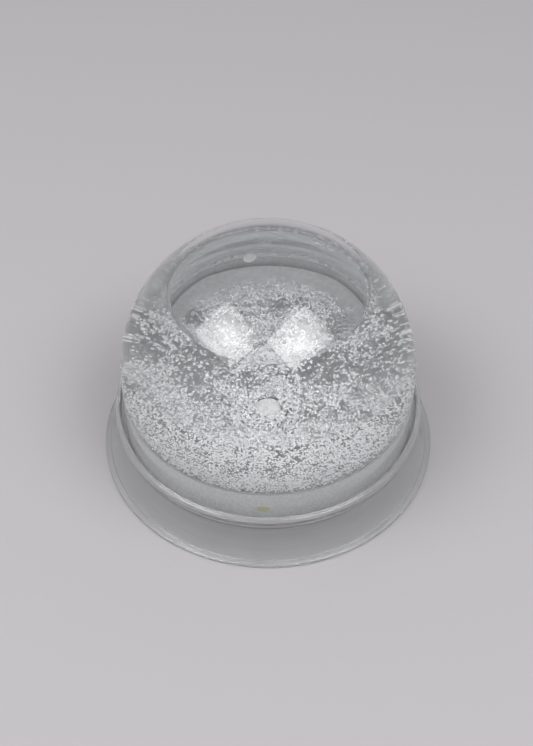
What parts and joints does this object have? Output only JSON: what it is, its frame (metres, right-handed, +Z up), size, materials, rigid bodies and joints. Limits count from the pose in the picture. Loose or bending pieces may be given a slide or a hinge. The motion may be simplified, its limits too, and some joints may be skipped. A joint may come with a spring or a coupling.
{
  "type": "snow globe",
  "caption": "Clear domed snow globe on a flared transparent ring base, with liquid, settled white flakes, a sealed floor plate and a filling plug.",
  "frame": {"origin": "centre of the foot's underside, on the surface that it stands on", "axes": "+Z up along the dome's axis, -Y is the front"},
  "size_m": [0.1, 0.1, 0.0744],
  "materials": {
    "clear_plastic": "clear moulded plastic, polished",
    "base_plastic": "clear moulded plastic, polished",
    "cement": "clear cement, slightly yellowed",
    "plug": "translucent soft plastic",
    "liquid": "clear liquid",
    "flake": "white flakes"
  },
  "bodies": {
    "stand": {"base_ring": "base_plastic"},
    "globe": {"dome_shell": "clear_plastic", "floor_plate": "clear_plastic", "glue_bead": "cement"},
    "plug": {"filler_plug": "plug"},
    "snow": {"liquid_fill": "liquid", "snow_flakes": "flake"}
  },
  "joints": [
    {"name": "globe_lift", "type": "slide", "parent": "stand", "child": "globe", "axis": [0, 0, 1], "range_m": [0, 0.04]},
    {"name": "plug_pull", "type": "slide", "parent": "globe", "child": "plug", "axis": [0, 0, -1], "range_m": [0, 0.007]},
    {"name": "snow_swirl", "type": "hinge", "parent": "globe", "child": "snow", "pos_m": [0, 0, 0.04], "axis": [0, 0, 1], "continuous": true}
  ]
}
